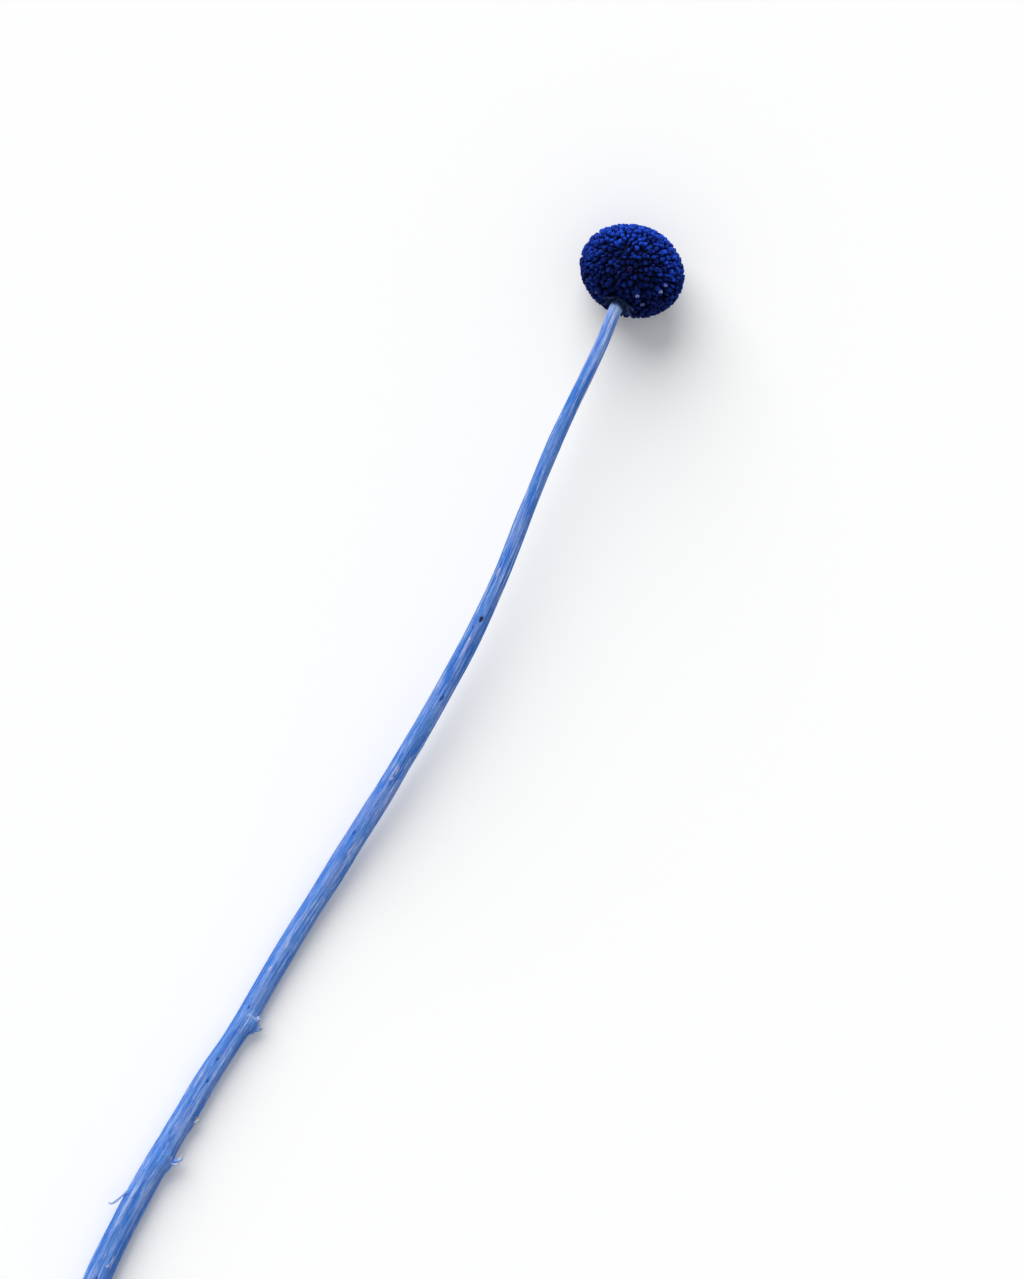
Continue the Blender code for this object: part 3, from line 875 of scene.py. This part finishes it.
def joined(strands):
    """Several strands of points, faces and tip shares as one."""
    points, faces, tips = zip(*strands)
    starts = np.cumsum([0] + [len(part) for part in points[:-1]])
    moved = [part + start for parts, start in zip(faces, starts) for part in parts]
    return np.concatenate(points), moved, np.concatenate(tips)


def make_leaf_remains(stalk, head):
    """Torn bases of leaves on the stalk: strands that rise out of it, lean along it and curl.

    With t from root to tip, out = length * (t - curl * t^3 / 3), along = length * (lean * t + curl * t^2),
    and the half width falls with t^2.
    """
    rng = np.random.default_rng(stalk.seed + 5)
    route = stalk_rows(400, head)
    path = route[:, :3]
    along, side, up = frames_along(path)
    t = np.linspace(0, 1, 18)[:, None]
    strands, bareness = [], []
    for x, degrees, length, width, lean, curl, bare in LEAF_REMAINS:
        i = int(np.argmin(np.abs(path[:, 0] - x)))
        turn = math.radians(degrees)
        out = math.cos(turn) * side[i] + math.sin(turn) * up[i]
        rise = route[i, 3] / 2 * (0.55 + 0.45 * ease(2.5 * t)) + length * (t - curl / 3 * t**3)
        middle = path[i] + out * rise + along[i] * length * (lean * t + curl * t**2)
        middle += rng.uniform(-1, 1, 3) * 0.25 * t**2
        half = width / 2 * (1 - 0.35 * t**2)
        strands.append(torn_strand(rng, middle, half, 0.7))
        bareness += [bare] * len(strands[-1][0])
    points, faces, tips = joined(strands)
    points[:, 2] = np.maximum(points[:, 2], 0)
    return points, faces, {"tip": tips, "bareness": np.array(bareness)}


def make_peel(peel_width, seed):
    """A strand of bark that has come off the stalk's side, and a thinner one split from it.

    It starts inside the stalk, broad and flat, and narrows along its route to the hooked end.
    """
    rng = np.random.default_rng(seed)
    t = np.linspace(0, 1, 48)[:, None]
    strands = []
    for drop, share, wide in ((0.0, 1.0, 1.0), (0.9, 0.74, 0.45)):
        route = smooth_route(PEEL_ROUTE, 200)[: int(200 * share)]
        path = smooth_route(route[::8], len(t)) - np.array([0, 0, drop]) * t
        half = peel_width / MM / 2 * wide * (1.25 - 0.85 * ease(t * 1.3) + 0.06 * np.sin(t * 24 + drop))
        strands.append(torn_strand(rng, path, half, 0.55))
    points, faces, tips = joined(strands)
    return points, faces, {"tip": tips, "bareness": np.full(len(points), 0.7)}


def scrap_material(name, dye):
    """Dyed leaf and fibre scraps: blue at the root, with a pale dry tip."""
    shade = Shade(name, Specular_IOR_Level=0.25)
    tip = shade.attribute("tip")
    bareness = shade.attribute("bareness")
    place = shade.place()
    grain = shade.noise(place, 1.6, 4.0, 0.6)
    fibre = shade.noise(shade.vector("MULTIPLY", place, (1.2, 4.5, 4.5)), 1.0, 3.0)
    colour = shade.layers(
        shade.mix(grain.band(0.35, 0.65), dye.deep, dye.light),
        (fibre.band(0.52, 0.66) * 0.7, dye.worn),
        ((tip * 0.8 + bareness * 0.4 + (fibre - 0.5) * 0.9).band(0.62, 1.05) * 0.8, dye.faded),
        ((bareness + tip * 0.3 + (grain - 0.5)).band(0.98, 1.2) * 0.7, dye.bare),
    )
    shade.relief(fibre + grain * 0.5, 0.6, 0.25 * MM)
    return shade.finish(colour, grain * 0.2 + 0.5)


def neck_level(out, head):
    """How far the florets' tips reach from the head's middle along its axis, at a distance out from it."""
    tilt = np.arcsin(np.clip(out / (head.width / MM / 2), 0, 1))
    return head.length / MM / 2 * np.cos(tilt) - head.hollow / MM * bump(tilt / HOLLOW_ANGLE)


def make_bracts(settings, head):
    """Papery bracts: each is a cupped leaf-shaped sheet from the neck outwards over the base of the head.

    With t from neck to tip and v across, its half width follows sin(pi * t^0.75)^0.8 with torn edges. Its
    height over the florets dips by (1 - t)^4 at the neck, lifts with t^2, curls away with t^4, and is cupped
    with v^2 and folded by waves and veins.
    """
    rng = np.random.default_rng(settings.seed)
    across, other, crown = head_axes()
    t = np.linspace(0, 1, 26)[:, None]
    v = np.linspace(-1, 1, 15)[None, :]
    sheets, edges, grains = [], [], []
    for number, (reach, degrees, width, _) in enumerate(BRACTS):
        angle = math.radians(degrees + rng.uniform(-6, 6))
        outward = math.cos(angle) * across + math.sin(angle) * other
        round_it = -math.sin(angle) * across + math.cos(angle) * other
        torn = 1 - settings.ragged * rng.uniform(0, 1, (len(t), 2)) ** 2 * ease(t * 4)
        torn = np.where(v < 0, torn[:, :1], torn[:, 1:])
        out = STALK_TIP_WIDTH / 2 + 0.05 + reach * t * (1 + 0.1 * np.sin(v * 7 + rng.uniform(0, TURN)) * t)
        half = width / 2 * (0.4 * (1 - t) + np.sin(math.pi * t**0.75) ** 0.8)
        wave = 0.16 * np.sin(t * 11 + rng.uniform(0, TURN)) * v
        wave = wave + 0.1 * np.sin(t * 17 + rng.uniform(0, TURN)) * v**2
        veins = 0.045 * np.cos(v * 11 + rng.uniform(0, TURN)) * (1 - 0.5 * t)
        curl = settings.curl / MM * rng.uniform(0.1, 1) * t**4
        lift = 0.08 + SECOND_ROW_LIFT * (number >= FIRST_BRACTS) - 0.9 * (1 - t) ** 4
        lift = lift + settings.lift / MM * t**2 + curl
        lift = lift + (rng.uniform(0.05, 0.45) * v**2 + wave) * half + veins
        sheets.append(
            HEAD_MIDDLE
            + outward * out[..., None]
            + round_it * (half * torn * v)[..., None]
            - crown * (neck_level(out, head) + lift)[..., None]
        )
        edges.append(np.maximum(np.abs(v) ** 3, t**5))
        grains.append(np.stack(np.broadcast_arrays(half * v + 9 * number, reach * t, 0), axis=-1))
    points, faces = closed_sheets(np.stack(sheets), settings.thickness / MM)
    edge = np.repeat(edges, 2, axis=0).ravel()
    grain = np.repeat(grains, 2, axis=0).reshape(-1, 3)
    dryness = np.repeat([dry for *_, dry in BRACTS], len(points) // len(BRACTS))
    return points, [faces], {"edge": edge, "straight": grain, "dryness": dryness}


def bract_material(dye):
    """Thin dry paper, dyed blue: fine veins from neck to tip, and paler where it is dry or torn."""
    shade = Shade("papery_bracts", Specular_IOR_Level=0.15)
    straight = shade.attribute("straight", "Vector")
    vein = shade.noise(shade.vector("MULTIPLY", straight, (6.5, 0.8, 1.0)), 1.0, 3.0)
    blotch = shade.noise(straight, 1.1, 4.0, 0.65)
    edge = shade.attribute("edge")
    dryness = shade.attribute("dryness")
    paler = (edge * 0.8 + blotch * 0.5 + (vein - 0.5) * 0.5).band(0.72, 1.15)
    colour = shade.layers(
        shade.mix(blotch.band(0.3, 0.7) * (dryness * 0.7 + 0.3), dye.dark, dye.middle),
        (vein.band(0.5, 0.66) * (dryness * 0.7 + 0.2), dye.vein),
        (paler * (dryness * 0.8 + 0.15), dye.pale),
    )
    shade.relief(vein + blotch * 0.4, 0.7, 0.2 * MM)
    return shade.finish(colour, blotch * 0.2 + 0.55)


def colour_setting(name, description, default):
    return bpy.props.FloatVectorProperty(
        name=name, description=description, subtype="COLOR", size=3, min=0, max=1, default=default
    )


def count_setting(name, description, default, low=0):
    return bpy.props.IntProperty(name=name, description=description, default=default, min=low)


def share_setting(name, description, default, **more):
    return bpy.props.FloatProperty(name=name, description=description, default=default, min=0, **more)


def length_setting(name, description, default):
    return share_setting(name, description, default * MM, subtype="DISTANCE", unit="LENGTH", precision=5)


def angle_setting(name, description, default):
    return share_setting(name, description, math.radians(default), subtype="ANGLE")


class HeadSettings(bpy.types.PropertyGroup):
    width: length_setting("Width", "Across the head, over the florets' tips", 26.8)
    length: length_setting("Length", "From the base of the head to its crown", 21.8)
    hollow: length_setting("Hollow", "Depth of the hollow that the stalk goes into", 1.5)
    heart_depth: length_setting("Heart depth", "From the florets' tips down to the solid heart", 1.9)
    gap: length_setting("Gap", "Half the gap between florets of one group", 0.03)
    group_gap: length_setting("Group gap", "Half the gap between florets of different groups", 0.16)
    unevenness: length_setting("Unevenness", "How far the lowest tips lie under the others", 0.42)
    teeth: length_setting("Teeth", "How far the points of a tip's rim rise and fall", 0.1)
    florets: count_setting("Florets", "How many florets", 1320, 200)
    groups: count_setting("Groups", "How many groups they make", 290, 20)
    sides: count_setting("Sides", "Corners of a floret's outline", 12, 5)
    seed: count_setting("Seed", "Seed of the random draws", 3)
    tightness: share_setting("Tightness", "Narrower gaps at the crown", 0.55)
    crowding: share_setting("Crowding", "Closer florets at the crown", 0.13)
    nudge: share_setting("Nudge", "Unevenness of their places", 0.36)
    size_range: share_setting("Sizes", "How much their sizes differ", 0.85)
    squeeze: share_setting("Squeeze", "Narrowing to one side", 0.28, max=1)
    opened: share_setting("Opened", "Share of florets open in the middle", 0.38, max=1)
    lobes: share_setting("Lobes", "Depth of the folds down their sides", 0.22)
    tilt: share_setting("Tilt", "How far their tops slope", 0.4)
    sheen: share_setting("Sheen", "Strength of the soft sheen on them", 0.3)
    sheen_colour: colour_setting("Sheen colour", "Colour of the soft sheen", (0.11, 0.19, 1.0))
    # Painted shade deep between the florets.
    gap_shade: colour_setting("Gaps", "Colour deep between the florets", (0.0004, 0.0006, 0.005))
    side: colour_setting("Sides", "Colour of the florets' sides", (0.003, 0.01, 0.12))
    strand: colour_setting("Strands", "Colour of the fine strands on their sides", (0.018, 0.07, 0.6))
    # Painted shade at the base of the head.
    base: colour_setting("Base", "Colour at the base of the head", (0.0007, 0.003, 0.035))
    dark: colour_setting("Dark tips", "Colour of the darkest tips", (0.0015, 0.006, 0.075))
    middle: colour_setting("Tips", "Colour of most tips", (0.003, 0.019, 0.215))
    # The brightest tips, also the colour of the painted highlight on each tip's top.
    bright: colour_setting("Bright tips", "Colour of the brightest tips", (0.0126, 0.0764, 0.5952))
    pale: colour_setting("Missed florets", "Colour of florets that the dye missed", (0.3, 0.37, 0.76))
    brown: colour_setting("Brown floret", "Colour of a withered floret", (0.05, 0.02, 0.11))
    # The heart's near black colours are painted shade deep inside the head.
    heart_dark: colour_setting("Dark heart", "Darker fibre of the heart", (0.001, 0.001, 0.008))
    heart_light: colour_setting("Heart", "Paler fibre of the heart", (0.004, 0.004, 0.03))


class StalkSettings(bpy.types.PropertyGroup):
    rings: count_setting("Rings", "Rings of points along the stalk", 1300, 50)
    sides: count_setting("Sides", "Points in each ring", 72, 8)
    ribs: count_setting("Ribs", "Main ribs round the stalk", 7, 1)
    rib_height: share_setting("Rib height", "Height of a main rib, as a share of the radius", 0.12)
    groove: share_setting("Grooves", "Depth of the fine grooves, as a share of the radius", 0.036)
    seed: count_setting("Seed", "Seed of the random draws", 8)
    peel_width: length_setting("Peel width", "Width of the peeled strip", 1.3)
    # Deep dye, also the colour of the painted shade on the stalk's flanks.
    deep: colour_setting("Deep dye", "Where the dye is thickest", (0.026, 0.165, 0.63))
    middle: colour_setting("Dye", "Most of the stalk", (0.082, 0.238, 0.69))
    light: colour_setting("Thin dye", "Ridges where the dye is thin", (0.16, 0.32, 0.75))
    lilac: colour_setting("Lilac patches", "Patches where the dye is thin", (0.195, 0.32, 0.74))
    worn: colour_setting("Worn streaks", "Streaks with little dye", (0.37, 0.49, 0.8))
    groove_colour: colour_setting("Grooves", "Dye that has gathered in grooves", (0.01, 0.075, 0.4))
    faded: colour_setting("Faded top", "The top of the stalk", (0.37, 0.5, 0.8))
    neck: colour_setting("Neck", "Dry fibre under the head", (0.45, 0.56, 0.72))
    # Painted shadow under the head on the top of the stalk.
    shadow: colour_setting("Neck dye", "Dye that has gathered under the head", (0.006, 0.022, 0.09))
    bare: colour_setting("Bare fibre", "Fibre that the dye missed", (0.62, 0.58, 0.48))
    pink: colour_setting("Flecks", "Small flecks of bare skin", (0.56, 0.48, 0.66))
    scar: colour_setting("Pits", "Dark dye in the pits", (0.016, 0.012, 0.05))
    pith_dark: colour_setting("Dark pith", "Darker fibre of the cut", (0.4, 0.4, 0.36))
    pith_light: colour_setting("Pith", "Paler fibre of the cut", (0.66, 0.62, 0.48))


class BractSettings(bpy.types.PropertyGroup):
    thickness: length_setting("Thickness", "Thickness of a bract", 0.12)
    lift: length_setting("Lift", "How far a bract's tip stands off the florets", 0.35)
    curl: length_setting("Curl", "How far the most curled tip bends away", 0.7)
    ragged: share_setting("Ragged", "How deep the edges are torn", 0.34)
    seed: count_setting("Seed", "Seed of the random draws", 2)
    dark: colour_setting("Dark", "Deepest dye", (0.002, 0.005, 0.038))
    middle: colour_setting("Paper", "Most of a bract", (0.006, 0.026, 0.115))
    vein: colour_setting("Veins", "Fine lines from the neck to the tip", (0.02, 0.075, 0.27))
    pale: colour_setting("Edges", "Thin edges", (0.07, 0.15, 0.34))


class StageSettings(bpy.types.PropertyGroup):
    floor: colour_setting("Table", "Colour of the table", (0.95, 0.95, 0.95))
    backdrop: colour_setting("Backdrop", "What the camera sees past the table", (0.95, 0.95, 0.95))
    sky_colour: colour_setting("Sky colour", "Colour of the light from all round", (0.96, 0.98, 1.0))
    sky: share_setting("Sky", "Strength of the light from all round", 0.52)
    sun_colour: colour_setting("Window colour", "Colour of the main light", (1.0, 0.99, 0.97))
    sun: share_setting("Window", "Strength of the main light", 2.96)
    sun_height: angle_setting("Window height", "Height of the main light", 35)
    sun_size: angle_setting("Window size", "Width of the main light", 56)


class FLOWER_OT_florets(bpy.types.Operator):
    """Builds the florets of the head"""

    bl_idname = "flower.florets"
    bl_label = "Florets"

    def execute(self, context):
        head = context.scene.flower_head
        new_piece("floret_tips", *make_florets(head), floret_material(head), "dyed_florets", "flower_head")
        return {"FINISHED"}


class FLOWER_OT_receptacle(bpy.types.Operator):
    """Builds the solid heart of the head"""

    bl_idname = "flower.receptacle"
    bl_label = "Receptacle"

    def execute(self, context):
        head = context.scene.flower_head
        heart = receptacle_material(head)
        new_piece("receptacle", *make_receptacle(head), heart, "dyed_florets", "flower_head")
        return {"FINISHED"}


class FLOWER_OT_bracts(bpy.types.Operator):
    """Builds the papery bracts round the neck"""

    bl_idname = "flower.bracts"
    bl_label = "Bracts"

    def execute(self, context):
        head = context.scene.flower_head
        bracts = context.scene.flower_bracts
        shape = make_bracts(bracts, head)
        new_piece("bracts", *shape, bract_material(bracts), "papery_bracts", "bract_collar")
        return {"FINISHED"}


class FLOWER_OT_stalk(bpy.types.Operator):
    """Builds the ribbed stalk"""

    bl_idname = "flower.stalk"
    bl_label = "Stalk"

    def execute(self, context):
        stalk = context.scene.flower_stalk
        shape = make_stalk(stalk, context.scene.flower_head)
        new_piece("stalk", *shape, stalk_material(stalk), "dyed_stem", "stem")
        return {"FINISHED"}


class FLOWER_OT_leaf_remains(bpy.types.Operator):
    """Builds the torn leaf ends and the peeled fibre on the stalk"""

    bl_idname = "flower.leaf_remains"
    bl_label = "Leaf remains"

    def execute(self, context):
        stalk = context.scene.flower_stalk
        head = context.scene.flower_head
        scraps = scrap_material("leaf_scraps", stalk)
        new_piece("leaf_remains", *make_leaf_remains(stalk, head), scraps, "dyed_stem", "stem")
        new_piece("peeled_fibre", *make_peel(stalk.peel_width, stalk.seed + 6), scraps, "dyed_stem", "stem")
        return {"FINISHED"}


class FLOWER_OT_stage(bpy.types.Operator):
    """Builds the table, the light and the camera"""

    bl_idname = "flower.stage"
    bl_label = "Stage"

    def execute(self, context):
        stage = context.scene.flower_stage
        self.add_table(stage)
        self.add_sky(context, stage)
        self.add_window(stage)
        self.add_camera(context)
        context.scene.view_settings.view_transform = "Standard"
        return {"FINISHED"}

    def add_table(self, stage):
        shade = Shade("table_paper", Specular_IOR_Level=0.1)
        corners = np.array([(-1, -1, 0), (1, -1, 0), (1, 1, 0), (-1, 1, 0)]) * TABLE_HALF - [0, 0, TABLE_DROP]
        mesh = bpy.data.meshes.new("table")
        mesh.from_pydata((corners * MM).tolist(), [], [(0, 1, 2, 3)])
        mesh.materials.append(shade.finish(stage.floor, 0.9))
        table = placed("table", mesh)

    def add_sky(self, context, stage):
        """Even light from all round, which looks white behind the table's edge."""
        world = bpy.data.worlds.new("studio")
        world.use_nodes = True
        nodes, links = world.node_tree.nodes, world.node_tree.links
        sky = nodes["Background"]
        sky.inputs["Color"].default_value = rgba(stage.sky_colour)
        sky.inputs["Strength"].default_value = stage.sky
        backdrop = nodes.new("ShaderNodeBackground")
        backdrop.inputs["Color"].default_value = rgba(stage.backdrop)
        seen = nodes.new("ShaderNodeLightPath")
        both = nodes.new("ShaderNodeMixShader")
        links.new(seen.outputs["Is Camera Ray"], both.inputs[0])
        links.new(sky.outputs[0], both.inputs[1])
        links.new(backdrop.outputs[0], both.inputs[2])
        links.new(both.outputs[0], nodes["World Output"].inputs["Surface"])
        context.scene.world = world

    def add_window(self, stage):
        """The main light, broad and soft, from the upper left of the picture."""
        light = bpy.data.lights.new("window", "SUN")
        light.energy = stage.sun
        light.angle = stage.sun_size
        light.color = stage.sun_colour
        window = placed("window", light)
        window.rotation_euler = (0, math.pi / 2 - stage.sun_height, PICTURE_TURN + WINDOW_TURN)

    def add_camera(self, context):
        """Straight above, with a long lens, turned so that the stalk runs up to the right."""
        data = bpy.data.cameras.new("camera")
        data.sensor_width = SENSOR
        data.lens = SENSOR * CAMERA_HEIGHT / PICTURE_HEIGHT
        data.clip_end = 100
        camera = placed("camera", data)
        camera.location = np.array([*PICTURE_MIDDLE, CAMERA_HEIGHT]) * MM
        camera.rotation_euler = (0, 0, PICTURE_TURN)
        context.scene.camera = camera


OPERATORS = (
    FLOWER_OT_florets,
    FLOWER_OT_receptacle,
    FLOWER_OT_bracts,
    FLOWER_OT_stalk,
    FLOWER_OT_leaf_remains,
    FLOWER_OT_stage,
)
GROUPS = {
    "flower_head": HeadSettings,
    "flower_stalk": StalkSettings,
    "flower_bracts": BractSettings,
    "flower_stage": StageSettings,
}


class FLOWER_PT_pieces(bpy.types.Panel):
    """Lists the flower's pieces in the sidebar"""

    bl_idname = "FLOWER_PT_pieces"
    bl_label = "Billy Buttons"
    bl_space_type = "VIEW_3D"
    bl_region_type = "UI"
    bl_category = "Billy Buttons"

    def draw(self, context):
        for operator in OPERATORS:
            self.layout.operator(operator.bl_idname)
        for name in GROUPS:
            box = self.layout.box()
            for key in GROUPS[name].__annotations__:
                box.prop(getattr(context.scene, name), key)


def register():
    for group in GROUPS.values():
        bpy.utils.register_class(group)
    for name, group in GROUPS.items():
        setattr(bpy.types.Scene, name, bpy.props.PointerProperty(type=group))
    for thing in (*OPERATORS, FLOWER_PT_pieces):
        bpy.utils.register_class(thing)


def unregister():
    for thing in reversed((*OPERATORS, FLOWER_PT_pieces)):
        bpy.utils.unregister_class(thing)
    for name in GROUPS:
        delattr(bpy.types.Scene, name)
    for group in reversed(tuple(GROUPS.values())):
        bpy.utils.unregister_class(group)


def main():
    register()
    bpy.ops.flower.stage()
    bpy.ops.flower.receptacle()
    bpy.ops.flower.florets()
    bpy.ops.flower.bracts()
    bpy.ops.flower.stalk()
    bpy.ops.flower.leaf_remains()


if __name__ == "__main__":
    main()
